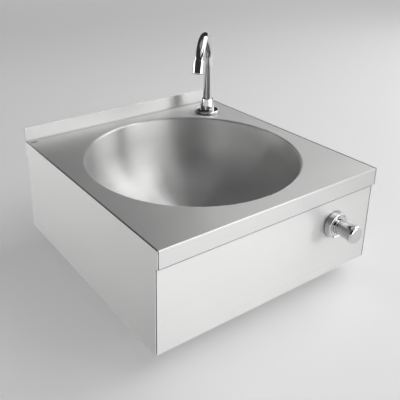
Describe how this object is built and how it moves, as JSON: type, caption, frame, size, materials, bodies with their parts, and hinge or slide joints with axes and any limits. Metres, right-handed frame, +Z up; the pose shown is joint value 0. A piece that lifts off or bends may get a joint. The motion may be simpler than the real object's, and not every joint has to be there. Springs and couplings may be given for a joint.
{
  "type": "wall-hung hand wash sink",
  "caption": "Wall-hung stainless steel hand wash sink: round bowl in a square deck with skirt panels, rear upstand, swivelling swan-neck spout and a knee-pushed water valve.",
  "frame": {"origin": "on the wall plane, midway between the two screws of the wall bracket", "axes": "+Z up, +Y into the wall, -Y out of the front, +X to the right seen from the front"},
  "size_m": [0.4, 0.4382, 0.3515],
  "materials": {
    "brushed_sheet": "fine brushed grain",
    "bowl_steel": "satin, turned grain",
    "mounting_steel": "plain rolled sheet",
    "chrome": "polished",
    "strainer_steel": "polished",
    "brass": "machined",
    "rubber": "matte",
    "fibre": "pressed fibre sealing washer",
    "white_plastic": "moulded",
    "spring_steel": "drawn wire"
  },
  "bodies": {
    "basin": {"worktop": "brushed_sheet", "bowl": "bowl_steel", "left_side_panel": "brushed_sheet", "right_side_panel": "brushed_sheet", "front_panel": "brushed_sheet", "rear_hanger": "mounting_steel", "wall_bracket": "mounting_steel", "earth_tab": "mounting_steel", "earth_screw": "brass", "earth_nut": "brass", "waste_body": "chrome", "waste_grid": "strainer_steel", "grid_screw": "strainer_steel", "waste_top_seal": "rubber", "waste_bottom_seal": "rubber", "waste_washer": "white_plastic", "waste_nut": "brass", "spout_base": "chrome", "base_gasket": "rubber", "shank_gasket": "rubber", "shank_washer": "mounting_steel", "shank_nut": "brass", "catch_screw": "strainer_steel", "valve_body": "brass", "valve_gasket": "rubber", "valve_nut": "brass", "collar_gasket": "rubber", "button_collar": "chrome", "gland_seal": "rubber", "timing_cartridge": "white_plastic", "valve_cap": "brass", "check_valve": "white_plastic", "inlet_filter": "spring_steel", "return_spring": "spring_steel", "supply_tube": "chrome", "shank_union_nut": "brass", "shank_union_seal": "fibre", "outlet_union_nut": "brass", "outlet_union_seal": "fibre"},
    "spout": {"swivel_stub": "brass", "swivel_seals": "rubber", "spout_tube": "chrome", "nozzle_sleeve": "chrome", "aerator_insert": "white_plastic", "aerator_washer": "rubber"},
    "button": {"push_button": "chrome", "plunger": "brass", "plunger_seal": "rubber"}
  },
  "joints": [
    {"name": "spout_swivel", "type": "hinge", "parent": "basin", "child": "spout", "pos_m": [0.145, -0.055, 0.075], "axis": [0, 0, 1], "range_deg": [-70, 165]},
    {"name": "button_press", "type": "slide", "parent": "basin", "child": "button", "axis": [0, 1, 0], "range_m": [0, 0.008], "stiffness_N_per_m": 1500, "springref_m": -0.002, "deforming": ["return_spring"]}
  ]
}
